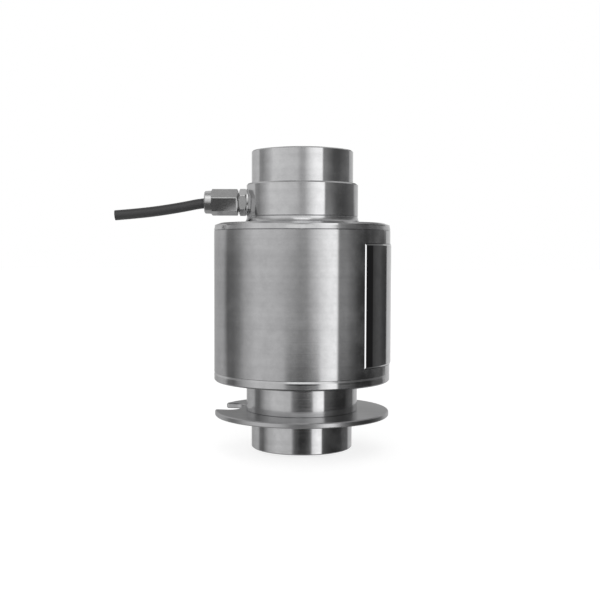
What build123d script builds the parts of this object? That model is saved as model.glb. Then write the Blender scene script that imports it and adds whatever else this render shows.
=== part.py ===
"""Rocker column load cell for a weighbridge, in millimetres.

The origin is the lowest point of the lower load button's dome, +Z is up along the column,
the cable gland points to -X and the nameplate is centred on +X.
"""

import math
import os

from build123d import *

os.makedirs("parts", exist_ok=True)

# Load column: one turned bar with a domed button at each end and a collar for the gland
button_d = 60.0
collar_step = 3.0
dome_radius = 200.0
end_stock = 1.0
button_edge = 0.6
collar_edge = 0.9
upper_button_length = 19.25
collar_height = 19.3
lower_button_length = 19.14

# Gauge section between the two necks: turned down, then milled to four flats
turned_d = 48.0
flats_across = 38.0
lower_neck_step = 1.0
neck_overhang = 5.0
ledge_fillet = 1.2

# Anti-rotation plate
plate_inset = 0.5
plate_thickness = 3.1
plate_edge = 0.55
notch_width = 24.0
notch_depth = 14.8
notch_angle = 169.0
notch_corner = 6.0
prong_corner = 1.5

# Housing tube and the two end rings that carry it
tube_d = 104.4
tube_length = 83.65
tube_wall = 4.0
weld_depth = 0.4
weld_height = 0.3
flank_height = 1.1
collar_flank_height = 0.5
upper_rim_height = 4.3
upper_hub_height = 3.9
upper_rim_edge = 3.5
upper_rim_drop = 1.2
lower_rim_height = 4.95
lower_hub_height = 17.8
lower_rim_edge = 0.8
lower_rim_drop = 0.8
lower_foot_edge = 0.2
upper_flare = 0.45
upper_flare_height = 2.0
lower_flare = 0.02
lower_flare_height = 1.0
hub_foot_radius = 3.2
membrane_thickness = 1.2
membrane_chamfer = 1.0
sleeve_wall = 5.0
sleeve_depth = 9.0
spigot_wall = 4.0
spigot_depth = 4.5

# Nameplate, bare
nameplate_height = 70.5
nameplate_bottom_gap = 5.4
nameplate_half_angle = 48.6
nameplate_thickness = 0.5
nameplate_glue = 0.05
nameplate_bevel_width = 1.1
nameplate_bevel_depth = 0.4

# Cable gland, seated in a spot face half-way up the collar
hex_across_flats = 14.0
hex_corner = 0.5
spot_face_d = 19.0
spot_face_depth = 1.5
gland_drop = 1.2
gland_thread_d = 12.0
gland_thread_depth = 6.0
gland_thread_relief = 0.6
seal_d = 16.6
seal_thickness = 1.5
seal_edge = 0.3
body_hex_length = 4.3
body_hex_turn = 28.0
body_bore_d = 6.8
spigot_thread_d = 11.4
spigot_thread_length = 10.6
hex_gap = 0.65
nut_hex_length = 15.85
nut_hex_turn = 16.2
nut_end_length = 4.1
nut_end_d = 13.7
nut_end_taper = 0.2
nut_mouth_d = 7.8
nut_lip = 0.6
grommet_d = 9.6
grommet_length = 7.8
washer_d = 10.8
washer_bore_d = 6.6
washer_thickness = 0.8

# Cable and its four cores
cable_d = 6.0
core_d = 1.1
core_spread = 0.8
core_bend = 2.0
core_end_bend = 1.5
passage_d = 5.0
passage_drill_d = 8.0
passage_inset = 6.4

# Bridge circuit on the gauge section
gauge_width = 10.0
gauge_height = 12.0
gauge_thickness = 0.15
tab_size = 1.2
tab_thickness = 0.1
tab_pitch = 2.4
flex_thickness = 0.25
flex_height = 3.0
flex_gap = 4.0
flex_below_board = 1.6
flex_tail_rise = 1.6
flex_bend = 0.5
flex_board_gap = 0.4
flex_tail_width = 12.0
flex_tail_overlap = 3.5
lead_d = 0.3
board_width = 24.0
board_height = 15.0
board_thickness = 1.6
board_gap = 1.5
board_below_neck = 3.0
board_pad_size = 5.0
core_pad_pitch = 4.0
core_pad_size = 2.0
core_pad_height = 3.5
core_pad_thickness = 0.15
span_resistor = (4.0, 2.0, 0.6)
zero_resistor = (3.2, 1.6, 0.55)

# Radii
button_r = button_d / 2
collar_r = button_r + collar_step
passage_offset = button_r - passage_inset
turned_r = turned_d / 2
lower_neck_r = button_r + lower_neck_step
tube_r = tube_d / 2
plate_r = tube_r - plate_inset
tube_bore_r = tube_r - tube_wall
flat_x = flats_across / 2
gland_thread_r = gland_thread_d / 2

# Heights, upwards from the lowest point of the lower dome
dome_rim_r = button_r - button_edge
dome_sag = dome_radius - math.sqrt(dome_radius**2 - dome_rim_r**2)
z_plate = dome_sag + lower_button_length
z_lower_foot = z_plate + plate_thickness
z_lower_rim = z_lower_foot + lower_hub_height
z_tube_bottom = z_lower_rim + lower_rim_height
z_tube_top = z_tube_bottom + tube_length
z_upper_rim = z_tube_top + upper_rim_height
z_collar = z_upper_rim + upper_hub_height
z_collar_top = z_collar + collar_height
z_upper_edge = z_collar_top + upper_button_length
z_top = z_upper_edge + dome_sag
z_gland = z_collar + collar_height / 2 - gland_drop
z_lower_ledge = z_lower_rim + sleeve_depth + neck_overhang
z_upper_ledge = z_upper_rim - sleeve_depth - neck_overhang

# Distances outwards from the column's axis along the gland
spot_face_u = collar_r - spot_face_depth
shank_u = spot_face_u - gland_thread_depth + gland_thread_relief
body_hex_u = spot_face_u + seal_thickness
body_spigot_u = body_hex_u + body_hex_length
spigot_end_u = body_spigot_u + spigot_thread_length
nut_u = body_spigot_u + hex_gap
nut_round_u = nut_u + nut_hex_length
nut_end_u = nut_round_u + nut_end_length
grommet_end_u = spigot_end_u + 1.5
grommet_u = grommet_end_u - grommet_length
washer_end_u = grommet_end_u + washer_thickness

# The cable's route: distance out from the gland's mouth, and drop below the gland's axis
jacket_past_grommet = 0.5
jacket_end_u = grommet_u - jacket_past_grommet
route = [(-1.0, 0.0), (13.1, 2.9), (27.1, 5.2), (41.1, 6.85), (53.2, 7.85)]

gland_plane = Plane(origin=(0, 0, z_gland), x_dir=(0, 1, 0), z_dir=(-1, 0, 0))


def save(part, name):
    """Label a finished piece and write it to its own file."""
    part.label = name
    export_step(part, f"parts/{name}.step")


def axis_distance(edge):
    """How far an edge's middle lies from the column's axis."""
    middle = edge.center()
    return math.hypot(middle.X, middle.Y)


# Load column
with BuildPart() as load_column:
    with BuildSketch(Plane.XZ):
        with BuildLine():
            Polyline(
                (0, -end_stock),
                (dome_rim_r - dome_sag - end_stock, -end_stock),
                (button_r, dome_sag + button_edge),
                (button_r, z_plate),
                (lower_neck_r, z_plate),
                (lower_neck_r, z_lower_ledge),
                (turned_r, z_lower_ledge),
                (turned_r, z_upper_ledge),
                (button_r, z_upper_ledge),
                (button_r, z_collar),
                (collar_r - weld_depth, z_collar),
                (collar_r, z_collar + weld_height),
                (collar_r, z_collar_top - collar_edge),
                (collar_r - collar_edge, z_collar_top),
                (button_r, z_collar_top),
                (button_r, z_upper_edge - button_edge),
                (dome_rim_r - dome_sag - end_stock, z_top + end_stock),
                (0, z_top + end_stock),
                close=True,
            )
        make_face()
    revolve(axis=Axis.Z)
    for dome_centre in (dome_radius, z_top - dome_radius):
        with Locations((0, 0, dome_centre)):
            Sphere(dome_radius, rotation=(90, 0, 0), mode=Mode.INTERSECT)
    with BuildSketch(Plane.XY.offset(z_lower_ledge)):
        Circle(lower_neck_r)
        Rectangle(flats_across, flats_across, mode=Mode.SUBTRACT)
    extrude(amount=z_upper_ledge - z_lower_ledge, mode=Mode.SUBTRACT)
    for ledge in (z_lower_ledge, z_upper_ledge):
        around = load_column.edges().filter_by_position(Axis.Z, ledge, ledge)
        fillet(around.sort_by(SortBy.LENGTH)[:-1], radius=ledge_fillet)
    with Locations(gland_plane.offset(collar_r)):
        CounterBoreHole(
            radius=gland_thread_r,
            counter_bore_radius=spot_face_d / 2,
            counter_bore_depth=spot_face_depth,
            depth=spot_face_depth + gland_thread_depth,
        )
        Hole(passage_drill_d / 2, depth=collar_r - passage_offset + passage_d / 2)
    with Locations(Plane(origin=(-passage_offset, 0, z_upper_ledge), z_dir=(0, 0, -1))):
        Hole(passage_d / 2, depth=z_gland - z_upper_ledge)
save(load_column.part, "load_column")


def end_ring(seat, rim, foot, bore_r, edge, drop, flank, flare, flare_height, foot_depth, foot_height):
    """A flanged ring round the neck: hub, thin membrane, rim and a spigot into the tube.

    seat is the tube's end, rim the outer face of the rim and foot the far end of the hub.
    The flank slopes into the weld at the tube, and from it the rim narrows by the flare.
    The rim's outer corner is turned off by edge along its face and by drop along its side.
    """
    out = math.copysign(1, rim - seat)
    under = rim - out * membrane_thickness
    sleeve_end = rim - out * sleeve_depth
    sleeve_r = bore_r + sleeve_wall
    spigot_end = seat - out * spigot_depth
    spigot_r = tube_bore_r - spigot_wall
    with BuildPart() as ring:
        with BuildSketch(Plane.XZ):
            with BuildLine():
                hub_foot = RadiusArc(
                    (collar_r + hub_foot_radius, rim),
                    (collar_r, rim + out * hub_foot_radius),
                    out * hub_foot_radius,
                )
                Polyline(
                    hub_foot @ 1,
                    (collar_r, foot - out * foot_height),
                    (collar_r - foot_depth, foot),
                    (bore_r, foot),
                    (bore_r, sleeve_end),
                    (sleeve_r, sleeve_end),
                    (sleeve_r, under - out * membrane_chamfer),
                    (sleeve_r + membrane_chamfer, under),
                    (spigot_r - membrane_chamfer, under),
                    (spigot_r, under - out * membrane_chamfer),
                    (spigot_r, spigot_end),
                    (tube_bore_r, spigot_end),
                    (tube_bore_r, seat),
                    (tube_r - weld_depth, seat),
                    (tube_r, seat + out * flank),
                    (tube_r - flare, seat + out * (flank + flare_height)),
                    (tube_r - flare, rim - out * drop),
                    (tube_r - flare - edge, rim),
                    hub_foot @ 0,
                )
            make_face()
        revolve(axis=Axis.Z)
    return ring.part


upper_end_ring = end_ring(
    z_tube_top,
    z_upper_rim,
    z_collar,
    button_r,
    upper_rim_edge,
    upper_rim_drop,
    weld_height,
    upper_flare,
    upper_flare_height,
    weld_depth,
    collar_flank_height,
)
save(upper_end_ring, "upper_end_ring")

lower_end_ring = end_ring(
    z_tube_bottom,
    z_lower_rim,
    z_lower_foot,
    lower_neck_r,
    lower_rim_edge,
    lower_rim_drop,
    flank_height,
    lower_flare,
    lower_flare_height,
    lower_foot_edge,
    lower_foot_edge,
)
save(lower_end_ring, "lower_end_ring")

# Housing tube, its outer edges chamfered for the two welds
with BuildPart() as housing_tube:
    with BuildSketch(Plane.XY.offset(z_tube_bottom)):
        Circle(tube_r)
        Circle(tube_bore_r, mode=Mode.SUBTRACT)
    extrude(amount=tube_length)
    outer_edges = housing_tube.edges().filter_by(GeomType.CIRCLE).sort_by(SortBy.RADIUS)[-2:]
    chamfer(outer_edges, length=weld_height, length2=weld_depth)
save(housing_tube.part, "housing_tube")

# Nameplate, bent to the tube, with a shallow bevel all round
with BuildPart() as nameplate:
    with BuildSketch(Plane.XY.offset(z_tube_bottom + nameplate_bottom_gap)):
        with BuildLine():
            sweep_angle = 2 * nameplate_half_angle
            back_r = tube_r + nameplate_glue
            front_r = back_r + nameplate_thickness
            back = CenterArc((0, 0), back_r, -nameplate_half_angle, sweep_angle)
            front = CenterArc((0, 0), front_r, -nameplate_half_angle, sweep_angle)
            Line(back @ 0, front @ 0)
            Line(back @ 1, front @ 1)
        make_face()
    extrude(amount=nameplate_height)
    face = nameplate.faces().filter_by(GeomType.CYLINDER).sort_by(Axis.X)[-1]
    chamfer(
        face.edges(),
        length=nameplate_bevel_width,
        length2=nameplate_bevel_depth,
        reference=face,
    )
save(nameplate.part, "nameplate")

# Anti-rotation plate, seated on the column's lower neck against the foot of the ring
with BuildPart() as anti_rotation_plate:
    with BuildSketch(Plane.XY.offset(z_plate)):
        Circle(plate_r)
        Circle(lower_neck_r, mode=Mode.SUBTRACT)
        with PolarLocations(plate_r, 1, start_angle=notch_angle):
            Rectangle(2 * notch_depth, notch_width, mode=Mode.SUBTRACT)
    extrude(amount=plate_thickness)
    upright = anti_rotation_plate.edges().filter_by(Axis.Z).sort_by(axis_distance)
    fillet(upright[-4:-2], radius=notch_corner)
    upright = anti_rotation_plate.edges().filter_by(Axis.Z).sort_by(axis_distance)
    fillet(upright[-2:], radius=prong_corner)
    for flat in anti_rotation_plate.faces().filter_by(Axis.Z):
        chamfer(flat.outer_wire().edges(), length=plate_edge)
save(anti_rotation_plate.part, "anti_rotation_plate")


def hexagon_bar(start, length, turn):
    """A hexagon across the gland's axis, its corners chamfered at 30 degrees at both ends."""
    corner_r = hex_across_flats / math.sqrt(3)
    slope = (corner_r - hex_across_flats / 2) * math.tan(math.radians(30))
    with BuildSketch(gland_plane.offset(start)) as hexagon:
        RegularPolygon(hex_across_flats / 2, 6, major_radius=False, rotation=turn)
        fillet(hexagon.vertices(), radius=hex_corner)
    extrude(hexagon.sketch, amount=length)
    gland_side = Plane(origin=(0, 0, z_gland), x_dir=(-1, 0, 0), z_dir=(0, 1, 0))
    with BuildSketch(gland_side) as envelope:
        with BuildLine():
            Polyline(
                (start, 0),
                (start, hex_across_flats / 2),
                (start + slope, corner_r),
                (start + length - slope, corner_r),
                (start + length, hex_across_flats / 2),
                (start + length, 0),
                close=True,
            )
        make_face()
    revolve(envelope.sketch, axis=Axis((0, 0, z_gland), (-1, 0, 0)), mode=Mode.INTERSECT)


def turned(start, length, diameter, end_diameter=None, mode=Mode.ADD):
    """A round stretch on the gland's axis, tapered where its end has another diameter."""
    with BuildSketch(gland_plane.offset(start)) as near_end:
        Circle(diameter / 2)
    if end_diameter is None:
        extrude(near_end.sketch, amount=length, mode=mode)
        return
    with BuildSketch(gland_plane.offset(start + length)) as far_end:
        Circle(end_diameter / 2)
    loft([near_end.sketch.face(), far_end.sketch.face()], mode=mode)


# Gland body: threaded shank, hexagon and the threaded spigot that the nut draws up on
with BuildPart() as gland_body:
    hexagon_bar(body_hex_u, body_hex_length, body_hex_turn)
    turned(shank_u, body_hex_u - shank_u, gland_thread_d)
    turned(body_spigot_u, spigot_thread_length, spigot_thread_d)
    turned(shank_u, grommet_u - shank_u, body_bore_d, mode=Mode.SUBTRACT)
    turned(grommet_u, spigot_end_u - grommet_u, grommet_d, mode=Mode.SUBTRACT)
save(gland_body.part, "gland_body")

# Gland seal ring, between the spot face and the hexagon
with BuildPart() as gland_seal_ring:
    turned(spot_face_u, seal_thickness, seal_d)
    turned(spot_face_u, seal_thickness, gland_thread_d, mode=Mode.SUBTRACT)
    rim_edges = gland_seal_ring.edges().filter_by(GeomType.CIRCLE).sort_by(SortBy.RADIUS)[-2:]
    chamfer(rim_edges, length=seal_edge)
save(gland_seal_ring.part, "gland_seal_ring")

# Gland nut: hexagon, then a round end with its edges broken at the mouth
with BuildPart() as gland_nut:
    hexagon_bar(nut_u, nut_hex_length, nut_hex_turn)
    turned(nut_round_u, nut_end_length, nut_end_d, nut_end_d - 2 * nut_end_taper)
    turned(nut_u, washer_end_u - nut_u, spigot_thread_d, mode=Mode.SUBTRACT)
    turned(washer_end_u, nut_end_u - washer_end_u, nut_mouth_d, mode=Mode.SUBTRACT)
    mouth_edges = gland_nut.edges().filter_by(GeomType.CIRCLE).sort_by(Axis.X)[:2]
    chamfer(mouth_edges, length=nut_lip)
save(gland_nut.part, "gland_nut")

# Gland grommet, gripped between the body and the washer
with BuildPart() as gland_grommet:
    turned(grommet_u, grommet_length, grommet_d)
    turned(grommet_u, grommet_length, cable_d, mode=Mode.SUBTRACT)
save(gland_grommet.part, "gland_grommet")

# Gland thrust washer, against the nut's shoulder
with BuildPart() as gland_washer:
    turned(grommet_end_u, washer_thickness, washer_d)
    turned(grommet_end_u, washer_thickness, washer_bore_d, mode=Mode.SUBTRACT)
save(gland_washer.part, "gland_washer")


def route_radii(points, share=0.45):
    """The largest arc that the two runs at each inner point of a route leave room for."""
    radii = []
    for before, corner, after in zip(points, points[1:], points[2:]):
        turn = math.radians((corner - before).get_angle(after - corner))
        shorter = min((corner - before).length, (after - corner).length)
        radii.append(share * shorter / math.tan(turn / 2))
    return radii


# Cable, one jacketed piece from inside the gland body to its plain cut end
cable_points = [Vector(-jacket_end_u, 0, z_gland)]
cable_points += [Vector(-nut_end_u - out, 0, z_gland - drop) for out, drop in route]
cable_radii = route_radii(cable_points)
print("cable arcs, mm:", [round(r) for r in cable_radii])
with BuildPart() as cable:
    with BuildLine() as cable_line:
        FilletPolyline(*cable_points, radius=cable_radii)
    with BuildSketch(Plane(origin=cable_points[0], z_dir=(-1, 0, 0))):
        Circle(cable_d / 2)
    sweep()
print("cable length, mm:", round(cable_line.wire().length, 1))
save(cable.part, "cable")

# Bridge board: bonded to the gauge section's flat below the neck, on the gland's side
board_top = z_upper_ledge - board_below_neck
board_bottom = board_top - board_height
board_back_x = flat_x + board_gap
board_face_x = board_back_x + board_thickness
board_middle = (board_top + board_bottom) / 2
core_pad_z = board_top - 1.0 - core_pad_height / 2
core_rest_x = board_face_x + core_pad_thickness + core_d / 2
pad_rows = [core_pad_pitch * (i - 1.5) for i in range(4)]

with BuildPart() as terminal_board:
    with Locations((-(board_back_x + board_face_x) / 2, 0, board_middle)):
        Box(board_thickness, board_width, board_height)
    with Locations(*[(-board_face_x - core_pad_thickness / 2, y, core_pad_z) for y in pad_rows]):
        Box(core_pad_thickness, core_pad_size, core_pad_height)
save(terminal_board.part, "terminal_board")

with BuildPart() as board_pads:
    pad_y = (board_width - board_pad_size) / 2 - 1
    with Locations(*[(-(flat_x + board_back_x) / 2, y, board_middle) for y in (-pad_y, pad_y)]):
        Box(board_gap, board_pad_size, board_pad_size)
save(board_pads.part, "board_pads")


def board_chip(name, size, y, z):
    """A resistor chip on the board's face."""
    width, height, thickness = size
    with BuildPart() as chip:
        with Locations((-board_face_x - thickness / 2, y, z)):
            Box(thickness, width, height)
        chamfer(chip.faces().sort_by(Axis.X)[0].edges(), length=thickness / 4)
    save(chip.part, name)


chip_z = core_pad_z - core_pad_height / 2 - 1.5
board_chip("span_resistor_1", span_resistor, -board_width / 2 + 3.5, chip_z)
board_chip("span_resistor_2", span_resistor, board_width / 2 - 3.5, chip_z)
board_chip("zero_resistor", zero_resistor, 0, chip_z)

# The four cores: through the gland, round into the drilled passage and down to the board
for i, pad_y in enumerate(pad_rows):
    side = math.copysign(core_spread, pad_y)
    lift = core_spread if i in (1, 2) else -core_spread
    passage_x = passage_offset - lift
    bend = core_bend + core_spread + lift
    core_points = [
        Vector(-jacket_end_u, side, z_gland + lift),
        Vector(-passage_x, side, z_gland + lift),
        Vector(-passage_x, side, z_upper_ledge - 0.5),
        Vector(-core_rest_x, pad_y, core_pad_z + core_pad_height / 2),
        Vector(-core_rest_x, pad_y, core_pad_z - core_pad_height / 2),
    ]
    with BuildPart() as core:
        with BuildLine():
            FilletPolyline(*core_points, radius=[bend, core_end_bend, core_end_bend])
        with BuildSketch(Plane(origin=core_points[0], z_dir=(1, 0, 0))):
            Circle(core_d / 2)
        sweep()
    save(core.part, f"core_{i + 1}")

# Strain gauges, one on each flat, with three solder tabs at the top of each carrier
flex_top = board_bottom - flex_below_board
flex_bottom = flex_top - flex_height
flex_middle = flex_top - flex_height / 2
gauge_top = flex_bottom - flex_gap
gauge_middle = gauge_top - gauge_height / 2
lead_bottom = gauge_top - 1.5 * tab_size
lead_top = flex_middle
lead_x = flat_x + flex_thickness + lead_d / 2
tab_rows = [-tab_pitch, 0, tab_pitch]

for i in range(4):
    turn = Rotation(0, 0, 90 * i)
    with BuildPart() as strain_gauge:
        with Locations((flat_x + gauge_thickness / 2, 0, gauge_middle)):
            Box(gauge_thickness, gauge_width, gauge_height)
        tab_x = flat_x + gauge_thickness + tab_thickness / 2
        with Locations(*[(tab_x, y, gauge_top - tab_size) for y in tab_rows]):
            Box(tab_thickness, tab_size, tab_size)
    save(turn * strain_gauge.part, f"strain_gauge_{i + 1}")
    with BuildPart() as gauge_leads:
        with Locations(*[(lead_x, y, (lead_bottom + lead_top) / 2) for y in tab_rows]):
            Cylinder(lead_d / 2, lead_top - lead_bottom)
    save(turn * gauge_leads.part, f"gauge_leads_{i + 1}")

# Bridge flex: a printed band round the gauge section, with a tail up to the board's face
with BuildPart() as bridge_flex:
    with BuildSketch(Plane.XY.offset(flex_bottom)):
        Circle(turned_r + flex_thickness)
        outer_across = flats_across + 2 * flex_thickness
        Rectangle(outer_across, outer_across, mode=Mode.INTERSECT)
        with BuildSketch(mode=Mode.SUBTRACT):
            Circle(turned_r)
            Rectangle(flats_across, flats_across, mode=Mode.INTERSECT)
    extrude(amount=flex_height)
    with BuildSketch(Plane.XZ):
        with BuildLine():
            on_flat = flat_x + flex_thickness / 2
            on_board = board_face_x + flex_thickness / 2
            FilletPolyline(
                (-on_flat, flex_middle),
                (-on_flat, board_bottom - flex_board_gap - flex_tail_rise),
                (-on_board, board_bottom - flex_board_gap),
                (-on_board, board_bottom + flex_tail_overlap),
                radius=flex_bend,
            )
        trace(line_width=flex_thickness)
    extrude(amount=flex_tail_width / 2, both=True)
save(bridge_flex.part, "bridge_flex")
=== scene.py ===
import math

import bmesh
import bpy
from mathutils import Matrix


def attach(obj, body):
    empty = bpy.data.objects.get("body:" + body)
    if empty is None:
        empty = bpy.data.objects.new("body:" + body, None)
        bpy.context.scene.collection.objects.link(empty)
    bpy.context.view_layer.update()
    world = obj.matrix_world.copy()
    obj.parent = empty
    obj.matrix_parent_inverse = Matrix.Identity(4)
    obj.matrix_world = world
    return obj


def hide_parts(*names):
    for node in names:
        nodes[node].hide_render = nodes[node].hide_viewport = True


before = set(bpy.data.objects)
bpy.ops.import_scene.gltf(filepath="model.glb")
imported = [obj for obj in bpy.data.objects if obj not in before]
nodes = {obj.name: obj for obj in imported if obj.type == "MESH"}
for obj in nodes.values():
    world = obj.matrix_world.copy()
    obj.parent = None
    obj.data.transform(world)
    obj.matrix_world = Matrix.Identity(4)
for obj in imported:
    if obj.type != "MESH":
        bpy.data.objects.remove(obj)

scene = bpy.context.scene
scene.view_settings.view_transform = "Standard"
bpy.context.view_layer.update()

# The part's own sizes in metres, and the nameplate's half turn, as its source works them out
tube_r = 0.0522
nameplate_low = 0.0525627
nameplate_high = 0.1230627
nameplate_half_angle = math.radians(48.6)
bevel_width = 0.0011
gland_z = 0.1474627
nut_near = 0.03795
thread_r = 0.0060
thread_pitch = 0.0015
cable_r = 0.0030

# What the finishes draw on the part, painted shade and a painted shadow on the nameplate among
# them, in metres, and the slopes of two worn or cut edges
# Painted shadow: the width of the dark line along the nameplate's outer edge
painted_shadow_rim = 0.00035
# Painted shade: the width and blur of the darker margin at each side of the nameplate's face
painted_shade_width = 0.0068
painted_shade_blur = 0.0003
bevel_crown = 0.06
nut_edge_break = 0.0010
nut_edge_slope = 0.55
thread_blur = 0.0001
machined_grain_depth = 0.000001
ring_depth = 0.0001
streak_depth = 0.0002

# The cable's cut end, in metres: each piece's radius and how far it stands out
filler_size = (0.0023, 0.00003)
insulation_size = (0.00055, 0.00007)
copper_size = (0.0003, 0.0001)
core_circle_r = 0.00113

# Grain of the finishes: a noise scale for each, worked out from its size in millimetres.
# Real tool rings, machining marks and grinding streaks are too fine to show in the render,
# so they are drawn several times as coarse.
tool_rings = 1000 / 0.7143
turned_bands = 1000 / 3.846
turned_mottle = 1000 / 5.882
hand_smears = 1000 / 16.67
rolled_mottle = 1000 / 7.143
machined_marks = 1000 / 1.4286
machined_mottle = 1000 / 3.846
moulded_mottle = 1000 / 2.5

# The stretch draws the grinding out to streaks about 22 mm long and 0.8 mm wide
grinding_streaks = 1000 / 11.11
streak_stretch = (0.5, 14.0, 1.0)

# Camera: nearly level with the upper third of the cell, a little left of its axis
camera_dip = 2.734
camera_roll = -0.17
camera = bpy.data.objects.new("camera", bpy.data.cameras.new("camera"))
scene.collection.objects.link(camera)
camera.data.sensor_width = 36.0
camera.data.lens = 59.45
camera.data.clip_start = 0.01
camera.location = (-0.0013, -0.590, 0.11778)
camera.rotation_euler = (math.radians(90 - camera_dip), math.radians(camera_roll), 0)
scene.camera = camera


def route_curve(name, points, radius):
    """An open NURBS tube through these control points, which carry its radius."""
    curve = bpy.data.curves.new(name, "CURVE")
    curve.dimensions = "3D"
    curve.bevel_depth = 1.0
    curve.bevel_resolution = 8
    curve.resolution_u = 24
    curve.use_fill_caps = True
    spline = curve.splines.new("NURBS")
    spline.points.add(len(points) - 1)
    for control, point in zip(spline.points, points):
        control.co = (*point, 1.0)
        control.radius = radius
    spline.order_u = 3
    spline.use_endpoint_u = True
    item = bpy.data.objects.new(name, curve)
    scene.collection.objects.link(item)
    return item


# Cable: the route's points from the part's source, as (distance out, drop below the gland's axis)
cable_route = [
    (0.0411, 0.0),
    (0.0569, 0.0),
    (0.0710, 0.0029),
    (0.0850, 0.0052),
    (0.0990, 0.00685),
    (0.1111, 0.00785),
]
cable_points = [(-out, 0.0, gland_z - drop) for out, drop in cable_route]
cable = route_curve("cable_jacket", cable_points, cable_r)
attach(cable, "root")
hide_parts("cable")


def linear(colour, share=1.0):
    """A colour written as in a picture, such as 'a0a0a2', as the shader's linear values.

    A share makes it darker or lighter.
    """
    values = [int(colour[i:i + 2], 16) / 255 for i in (0, 2, 4)]
    curved = [v / 12.92 if v <= 0.04045 else ((v + 0.055) / 1.055) ** 2.4 for v in values]
    return [v * share for v in curved] + [1.0]


def grey(level):
    """A grey as a linear colour."""
    return (level, level, level, 1)


def wire(tree, node, inputs):
    """Set a node's inputs to values, or link them to sockets."""
    for key, value in inputs.items():
        if isinstance(value, bpy.types.NodeSocket):
            tree.links.new(value, node.inputs[key])
        else:
            node.inputs[key].default_value = value


def add(tree, kind, inputs=(), out=0, **settings):
    """Add a node with its settings and links, and give back one of its outputs.

    Inputs go by name, or as a list by place. A colour mix's go by number, since its names repeat.
    """
    node = tree.nodes.new("ShaderNode" + kind)
    for key, value in settings.items():
        setattr(node, key, value)
    wire(tree, node, inputs if isinstance(inputs, dict) else dict(enumerate(inputs)))
    return node.outputs[out]


def material(name):
    """A fresh material, its node tree and its shader."""
    mat = bpy.data.materials.new(name)
    mat.use_nodes = True
    tree = mat.node_tree
    return mat, tree, tree.nodes["Principled BSDF"]


def dress(mat, *names):
    """Give these CAD nodes a material."""
    for name in names:
        mesh = nodes[name].data
        mesh.materials.clear()
        mesh.materials.append(mat)


def place(tree):
    """Object coordinates: the vector and its three parts."""
    where = add(tree, "TexCoord", out="Object")
    x, y, z = add(tree, "SeparateXYZ", [where]).node.outputs
    return where, x, y, z


def reach(tree, across, up):
    """How far a point lies from an axis, from its two distances square to that axis."""
    squares = [add(tree, "Math", [part, part], operation="MULTIPLY") for part in (across, up)]
    total = add(tree, "Math", squares, operation="ADD")
    return add(tree, "Math", [total], operation="SQRT")


def lean(tree):
    """How far the surface faces up or down, from 0 on an upright face to 1 on a level one."""
    normal = add(tree, "TexCoord", out="Normal")
    up = add(tree, "SeparateXYZ", [normal], out="Z")
    return add(tree, "Math", [up], operation="ABSOLUTE")


def turned_steel(name, colour, roughness):
    """Turned stainless: fine rings left by the tool draw the light out along the axis.

    Handling leaves a faint haze in smears, and the chamfers are rougher than the long faces.
    """
    mat, tree, shader = material(name)
    where, x, y, z = place(tree)
    section = add(tree, "CombineXYZ", {"X": reach(tree, x, y), "Z": z})
    rings = add(
        tree, "TexNoise",
        {"Vector": section, "Scale": tool_rings, "Detail": 2.0, "Roughness": 0.7},
    )
    bands = add(
        tree, "TexNoise",
        {"Vector": section, "Scale": turned_bands, "Detail": 2.0, "Roughness": 0.5},
    )
    mottle = add(
        tree, "TexNoise",
        {"Vector": where, "Scale": turned_mottle, "Detail": 6.0, "Roughness": 0.7},
    )
    smears = add(
        tree, "TexNoise",
        {"Vector": where, "Scale": hand_smears, "Detail": 6.0, "Roughness": 0.65},
    )
    banded = add(tree, "Math", [bands, 0.35], operation="MULTIPLY")
    shade = add(tree, "Math", [mottle, 0.65, banded], operation="MULTIPLY_ADD")
    level = add(tree, "MapRange", [shade, 0.38, 0.62])
    base = add(
        tree, "Mix", {0: level, 6: linear(colour, 0.91), 7: linear(colour, 1.05)},
        out=2, data_type="RGBA",
    )
    haze = add(
        tree, "MapRange", [smears, 0.45, 0.68, 1.0, 0.93], interpolation_type="SMOOTHSTEP",
    )
    ring_marks = add(tree, "MapRange", [rings, 0.3, 0.7, roughness * 0.75, roughness * 1.3])
    chamfer_marks = add(tree, "MapRange", [lean(tree), 0.05, 0.2, 0.0, 0.13])
    rough = add(tree, "Math", [ring_marks, chamfer_marks], operation="ADD")
    bump = add(tree, "Bump", {"Height": rings, "Strength": 0.06, "Distance": ring_depth})
    tangent = add(tree, "Tangent", direction_type="RADIAL", axis="Z")
    wire(tree, shader, {
        "Base Color": base,
        "Metallic": haze,
        "Roughness": rough,
        "Normal": bump,
        "Tangent": tangent,
        "Anisotropic": 0.8,
        "Anisotropic Rotation": 0.25,
    })
    return mat


def ground_steel(name, flat_colour, edge_colour):
    """Stainless plate: ground faces with fine straight streaks, duller than its turned edge."""
    mat, tree, shader = material(name)
    where = add(tree, "TexCoord", out="Object")
    flat = add(tree, "MapRange", [lean(tree), 0.5, 0.9])
    along_grain = add(tree, "Mapping", {"Vector": where, "Scale": streak_stretch})
    streaks = add(
        tree, "TexNoise",
        {"Vector": along_grain, "Scale": grinding_streaks, "Detail": 5.0, "Roughness": 0.6},
    )
    level = add(tree, "MapRange", [streaks, 0.35, 0.65])
    face = add(
        tree, "Mix", {0: level, 6: linear(flat_colour, 0.85), 7: linear(flat_colour, 1.15)},
        out=2, data_type="RGBA",
    )
    base = add(tree, "Mix", {0: flat, 6: linear(edge_colour), 7: face}, out=2, data_type="RGBA")
    rough = add(tree, "MapRange", [flat, 0.0, 1.0, 0.28, 0.3])
    bump = add(tree, "Bump", {"Height": streaks, "Strength": 0.05, "Distance": streak_depth})
    wire(tree, shader, {"Base Color": base, "Metallic": 1.0, "Roughness": rough, "Normal": bump})
    return mat


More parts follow.
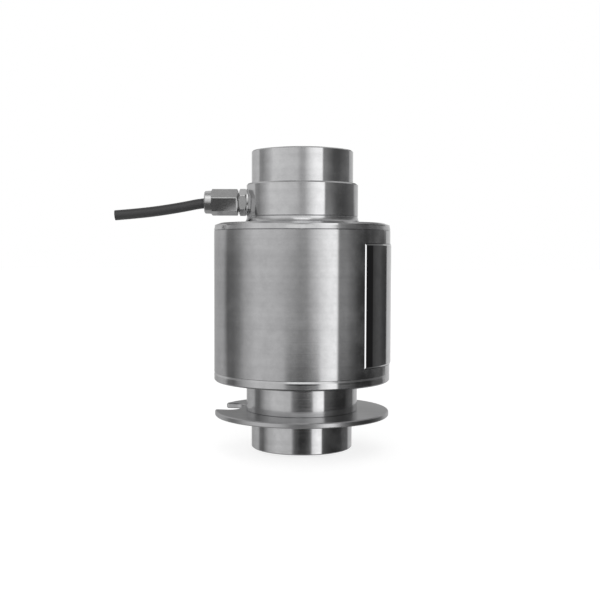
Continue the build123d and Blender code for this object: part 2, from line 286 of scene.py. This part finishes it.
def nameplate_steel(name, face_colour, painted_shade_colour, bevel_and_highlight_colour, painted_shadow_colour):
    """Rolled steel, smooth enough to mirror, with painted shade darkening a margin at each side.

    Its bevel is cut to bare steel, lightened beyond the other steel as a painted highlight and
    slightly crowned at the sides, with a painted shadow along its outer rim.
    """
    mat, tree, shader = material(name)
    where, x, y, z = place(tree)
    turn = add(tree, "Math", [y, x], operation="ARCTAN2")
    turn = add(tree, "Math", [turn], operation="ABSOLUTE")
    turn_left = add(tree, "Math", [nameplate_half_angle, turn], operation="SUBTRACT")
    side = add(tree, "Math", [turn_left, tube_r], operation="MULTIPLY")
    low = add(tree, "Math", [z, nameplate_low], operation="SUBTRACT")
    high = add(tree, "Math", [nameplate_high, z], operation="SUBTRACT")
    inset = add(tree, "Math", [low, high], operation="MINIMUM")
    inset = add(tree, "Math", [side, inset], operation="MINIMUM")
    mottle = add(
        tree, "TexNoise",
        {"Vector": where, "Scale": rolled_mottle, "Detail": 3.0, "Roughness": 0.6},
    )
    level = add(tree, "MapRange", [mottle, 0.3, 0.7])
    face = add(
        tree, "Mix", {0: level, 6: linear(face_colour, 0.9), 7: linear(face_colour, 1.08)},
        out=2, data_type="RGBA",
    )
    # Painted shade: the face turns darker within a margin at each side
    past_painted_shade = add(
        tree, "MapRange", [side, painted_shade_width - painted_shade_blur, painted_shade_width + painted_shade_blur],
    )
    face = add(
        tree, "Mix", {0: past_painted_shade, 6: linear(painted_shade_colour), 7: face},
        out=2, data_type="RGBA",
    )
    # Painted shadow: a dark line along the bevel's outer edge, then the bevel's bare steel,
    # lightened as a painted highlight
    past_painted_shadow = add(tree, "MapRange", [inset, painted_shadow_rim * 0.9, painted_shadow_rim * 1.1])
    bevel = add(
        tree, "Mix", {0: past_painted_shadow, 6: linear(painted_shadow_colour), 7: linear(bevel_and_highlight_colour)},
        out=2, data_type="RGBA",
    )
    past_bevel = add(tree, "MapRange", [inset, bevel_width * 0.97, bevel_width * 1.03])
    base = add(tree, "Mix", {0: past_bevel, 6: bevel, 7: face}, out=2, data_type="RGBA")
    rough = add(tree, "MapRange", [past_bevel, 0.0, 1.0, 0.12, 0.09])
    on_bevel = add(tree, "Math", [side, bevel_width], operation="MINIMUM")
    rise = add(tree, "Math", [on_bevel, bevel_crown], operation="MULTIPLY")
    bump = add(tree, "Bump", {"Height": rise, "Strength": 1.0, "Distance": 1.0})
    wire(tree, shader, {"Base Color": base, "Metallic": 1.0, "Roughness": rough, "Normal": bump})
    return mat


def machined_steel(name, colour, roughness):
    """Machined steel with a satin finish, threaded where it is turned down.

    The nut's inner edge is broken, and catches the light as a thin bright line.
    """
    mat, tree, shader = material(name)
    where, x, y, z = place(tree)
    lift = add(tree, "Math", [z, gland_z], operation="SUBTRACT")
    threaded = add(tree, "MapRange", [reach(tree, y, lift), thread_r + thread_blur, thread_r])
    wave = add(tree, "Math", [x, thread_pitch / 2], operation="PINGPONG")
    thread = add(tree, "Math", [wave, threaded], operation="MULTIPLY")
    marks = add(
        tree, "TexNoise",
        {"Vector": where, "Scale": machined_marks, "Detail": 4.0, "Roughness": 0.6},
    )
    height = add(tree, "Math", [marks, machined_grain_depth, thread], operation="MULTIPLY_ADD")
    broken_edge = add(
        tree, "MapRange",
        [x, -nut_near - nut_edge_break, -nut_near, 0.0, -nut_edge_slope * nut_edge_break],
    )
    height = add(tree, "Math", [height, broken_edge], operation="ADD")
    bump = add(tree, "Bump", {"Height": height, "Strength": 0.6, "Distance": 1.0})
    mottle = add(
        tree, "TexNoise",
        {"Vector": where, "Scale": machined_mottle, "Detail": 3.0, "Roughness": 0.6},
    )
    level = add(tree, "MapRange", [mottle, 0.35, 0.65])
    base = add(
        tree, "Mix", {0: level, 6: linear(colour, 0.96), 7: linear(colour, 1.03)},
        out=2, data_type="RGBA",
    )
    rough = add(tree, "MapRange", [marks, 0.3, 0.7, roughness * 0.94, roughness * 1.06])
    wire(tree, shader, {"Base Color": base, "Metallic": 1.0, "Roughness": rough, "Normal": bump})
    return mat


def moulded(name, colour, roughness, metallic=0.0, speckle=0.06):
    """A moulded, drawn or coated finish: even, with a little speckle in its colour."""
    mat, tree, shader = material(name)
    where = add(tree, "TexCoord", out="Object")
    mottle = add(
        tree, "TexNoise",
        {"Vector": where, "Scale": moulded_mottle, "Detail": 3.0, "Roughness": 0.6},
    )
    level = add(tree, "MapRange", [mottle, 0.3, 0.7])
    base = add(
        tree, "Mix", {0: level, 6: linear(colour, 1 - speckle), 7: linear(colour, 1 + speckle)},
        out=2, data_type="RGBA",
    )
    wire(tree, shader, {"Base Color": base, "Metallic": metallic, "Roughness": roughness})
    return mat


# Finishes of the cell: the tube is a little darker than the column and the rings
turned_stainless = turned_steel("turned_stainless", "cbcbcc", 0.11)
dress(turned_stainless, "load_column", "upper_end_ring", "lower_end_ring")
dress(turned_steel("turned_tube_stainless", "c0c0c1", 0.11), "housing_tube")
dress(ground_steel("ground_stainless", "9c9c9d", "c6c6c7"), "anti_rotation_plate")
# The nameplate's colours: its face, painted shade at its sides, its bevel lightened as a painted
# highlight, and a painted shadow at its rim
rolled_steel = nameplate_steel("rolled_nameplate_steel", "c4c4c5", "767677", "dededf", "48484a")
dress(rolled_steel, "nameplate")
gland_steel = machined_steel("machined_gland_steel", "c8c8c8", 0.24)
dress(gland_steel, "gland_body", "gland_nut", "gland_seal_ring", "gland_washer")

# Moulded rubber is matt and nearly black, and the extruded jacket has a soft sheen
dress(moulded("moulded_grommet_rubber", "242424", 0.6), "gland_grommet")
cable.data.materials.append(moulded("extruded_cable_jacket", "39393a", 0.42))

# Finishes of the circuit inside: drawn insulation with a soft sheen, dull foam, smooth amber
# film, bright copper, resistors like dark glass, and a satin board
core_colours = {
    "core_red": "a51d1f",
    "core_black": "1d1d1e",
    "core_green": "1e7436",
    "core_white": "e2e2de",
}
cores = [
    moulded(f"core_insulation_{i + 1}", colour, 0.4)
    for i, colour in enumerate(core_colours.values())
]
for i, insulation in enumerate(cores):
    dress(insulation, f"core_{i + 1}")
dress(moulded("adhesive_foam", "3a3a3a", 0.9), "board_pads")
amber_film = moulded("amber_polyimide_film", "b9752a", 0.3)
dress(amber_film, "bridge_flex")
copper = moulded("bare_copper", "d99a72", 0.3, metallic=1.0)
glaze = moulded("glazed_resistor", "232324", 0.25)
dress(glaze, "span_resistor_1", "span_resistor_2", "zero_resistor")
for i in range(4):
    dress(amber_film, f"strain_gauge_{i + 1}")
    dress(copper, f"gauge_leads_{i + 1}")
dress(moulded("green_solder_mask", "25633c", 0.35), "terminal_board")


def finished(name, form, mat):
    """An object at the origin that holds a finished form in its material."""
    mesh = bpy.data.meshes.new(name)
    form.to_mesh(mesh)
    form.free()
    mesh.materials.append(mat)
    item = bpy.data.objects.new(name, mesh)
    scene.collection.objects.link(item)
    return item


def cut_piece(name, centre, along, size, mat):
    """A round piece that stands a little out of the cable's cut end."""
    radius, out = size
    seat = along.to_track_quat("Z", "Y").to_matrix().to_4x4()
    seat.translation = centre
    form = bmesh.new()
    bmesh.ops.create_cone(
        form, cap_ends=True, segments=24, radius1=radius, radius2=radius, depth=2 * out,
        matrix=seat,
    )
    item = finished(name, form, mat)
    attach(item, "root")


# The cut end: filler, four insulated cores and the copper in them
end = cable.data.splines[0].points[-1].co.to_3d()
before = cable.data.splines[0].points[-2].co.to_3d()
along = (end - before).normalized()
across = along.orthogonal().normalized()
beside = along.cross(across)
cotton = moulded("cotton_filler", "8d8a83", 0.9)
cut_piece("cable_filler", end, along, filler_size, cotton)
for i, slot in enumerate(core_colours):
    angle = math.radians(45 + 90 * i)
    centre = end + (across * math.cos(angle) + beside * math.sin(angle)) * core_circle_r
    cut_piece(f"cut_core_{i + 1}", centre, along, insulation_size, cores[i])
    cut_piece(f"cut_wire_{i + 1}", centre, along, copper_size, copper)

# Floor, which shows the ground's white and the cell's faint shadow
floor_half_width = 6.0
paper, tree, shader = material("floor_paper")
wire(tree, shader, {
    "Base Color": grey(0.4),
    "Roughness": 0.9,
    "Emission Color": grey(1),
    "Emission Strength": 0.8,
})
form = bmesh.new()
bmesh.ops.create_grid(form, x_segments=1, y_segments=1, size=floor_half_width)
floor = finished("floor", form, paper)
floor.visible_glossy = False

# Light tent: rows of soft boxes and dark screens, as (turn from the camera in degrees, level)
above_eye = [
    (-180, 0.72), (-168, 0.66), (-150, 0.58), (-122, 0.72), (-116, 0.70), (-111, 0.36),
    (-100, 0.33), (-80, 0.62), (-68, 0.88), (-30, 0.80), (-12, 0.76), (-3, 0.52),
    (4, 0.56), (18, 1.16), (30, 1.42), (44.5, 1.46), (47.5, 0.32), (60, 0.21),
    (74, 0.11), (92, 0.10), (112, 0.15), (126, 0.20), (130, 0.24), (134, 0.54),
    (150, 0.60), (160, 0.68), (180, 0.78),
]
at_eye = [
    (-180, 0.95), (-170, 0.70), (-160, 0.46), (-128, 0.52), (-122, 0.48), (-112, 0.16),
    (-100, 0.19), (-88, 0.29), (-78, 0.55), (-60, 0.78), (-34, 0.73), (-18, 0.58),
    (-2, 0.43), (6, 0.47), (22, 1.05), (34, 1.45), (44.5, 1.52), (47.5, 0.36),
    (58, 0.36), (66, 0.22), (76, 0.09), (84, 0.05), (100, 0.06), (110, 0.11),
    (118, 0.12), (126, 0.08), (137.5, 0.05), (139.5, 0.66), (160, 0.72), (180, 0.80),
]
below_eye = [
    (-180, 0.78), (-168, 0.56), (-150, 0.42), (-128, 0.54), (-117, 0.54), (-110, 0.21),
    (-98, 0.16), (-80, 0.56), (-60, 0.76), (-24, 0.68), (-19, 0.26), (-15, 0.11),
    (-4, 0.01), (9, 0.01), (16, 0.06), (20, 0.16), (25, 1.12), (34, 1.42),
    (44.5, 1.50), (47, 0.13), (58, 0.06), (74, 0.03), (98, 0.03), (110, 0.10),
    (128, 0.16), (133, 0.56), (156, 0.60), (180, 0.85),
]
table = [
    (-180, 0.42), (-110, 0.40), (-60, 0.16), (0, 0.10), (60, 0.06), (100, 0.06),
    (118, 0.12), (132, 0.24), (150, 0.36), (180, 0.42),
]
ceiling = grey(0.42)
rear_ceiling = grey(0.66)

# Where one row gives way to the next, by the lift in degrees, and the ceiling's rear in metres
eye_line = (-0.5, 3.5)
lower_line = (-7.2, -7.9)
table_line = (-16.0, -30.0)
ceiling_line = (30.0, 60.0)
rear_line = (0.8, 2.6)

# Single panels: the turns in degrees between which each one's side edge comes in
front_edge = (26, 20)
right_rear_edge = (150, 162)
left_rear_edge = (-150, -162)


def screens(tree, turn_share, stops):
    """One row of the tent round the cell, with these levels at these turns."""
    row = add(tree, "ValToRGB", [turn_share])
    marks = row.node.color_ramp.elements
    marks.remove(marks[-1])
    marks[0].color = grey(stops[0][1])
    for turn, level in stops[1:]:
        marks.new((turn + 180) / 360).color = grey(level)
    return row


tent_radius = 8.0
cloth, tree, shader = material("tent_cloth")
tree.nodes.remove(shader)
x, y, z = place(tree)[1:]
to_camera = add(tree, "Math", [y, -1.0], operation="MULTIPLY")
turn = add(tree, "Math", [x, to_camera], operation="ARCTAN2")
turn_share = add(tree, "MapRange", [turn, -math.pi, math.pi])
height = add(tree, "Math", [z, gland_z], operation="SUBTRACT")
climb = add(tree, "Math", [height, tent_radius], operation="DIVIDE")
lift = add(tree, "Math", [climb], operation="ARCSINE")
lift = add(tree, "Math", [lift, 180 / math.pi], operation="MULTIPLY")
behind = add(tree, "MapRange", [y, *rear_line], interpolation_type="SMOOTHSTEP")
roof = add(tree, "Mix", {0: behind, 6: ceiling, 7: rear_ceiling}, out=2, data_type="RGBA")
wall = screens(tree, turn_share, at_eye)
rows = [
    (eye_line, screens(tree, turn_share, above_eye)),
    (lower_line, screens(tree, turn_share, below_eye)),
    (table_line, screens(tree, turn_share, table)),
    (ceiling_line, roof),
]
for line, row in rows:
    share = add(tree, "MapRange", [lift, *line], interpolation_type="SMOOTHSTEP")
    wall = add(tree, "Mix", {0: share, 6: wall, 7: row}, out=2, data_type="RGBA")
either_way = add(tree, "Math", [turn], operation="ABSOLUTE")

# Each panel: the turn it goes by, its side edge, its lowest and highest lift, its level
panels = [
    (either_way, front_edge, 13, 36, 0.95),
    (either_way, front_edge, 36, 72, 1.6),
    (turn, right_rear_edge, 14, 28, 0.08),
    (turn, left_rear_edge, 7, 28, 0.3),
]
for reading, edge, low, high, level in panels:
    start, full = [math.radians(angle) for angle in edge]
    across = add(tree, "MapRange", [reading, start, full], interpolation_type="SMOOTHSTEP")
    rise = add(tree, "MapRange", [lift, low - 1, low + 1], interpolation_type="SMOOTHSTEP")
    fall = add(tree, "MapRange", [lift, high + 1, high - 1], interpolation_type="SMOOTHSTEP")
    upright = add(tree, "Math", [rise, fall], operation="MINIMUM")
    share = add(tree, "Math", [across, upright], operation="MULTIPLY")
    wall = add(tree, "Mix", {0: share, 6: wall, 7: grey(level)}, out=2, data_type="RGBA")
glow = add(tree, "Emission", {"Color": wall, "Strength": 1.0})
wire(tree, tree.nodes["Material Output"], {"Surface": glow})

form = bmesh.new()
bmesh.ops.create_uvsphere(
    form, u_segments=64, v_segments=32, radius=tent_radius,
    matrix=Matrix.Translation((0, 0, gland_z)),
)
tent = finished("light_tent", form, cloth)
tent.visible_camera = False
tent.visible_shadow = False

# World: white behind the cell, for the camera and for what shines or lets light through
world = bpy.data.worlds.new("studio")
scene.world = world
world.use_nodes = True
tree = world.node_tree
path = add(tree, "LightPath").node.outputs
seen = add(tree, "Math", [path["Is Camera Ray"], path["Is Glossy Ray"]], operation="MAXIMUM")
seen = add(tree, "Math", [seen, path["Is Transmission Ray"]], operation="MAXIMUM")
dim = tree.nodes["Background"]
wire(tree, dim, {"Color": grey(0.6), "Strength": 1.0})
white = add(tree, "Background", {"Color": grey(1), "Strength": 1.0})
mixed = add(tree, "MixShader", [seen, dim.outputs[0], white])
wire(tree, tree.nodes["World Output"], {"Surface": mixed})
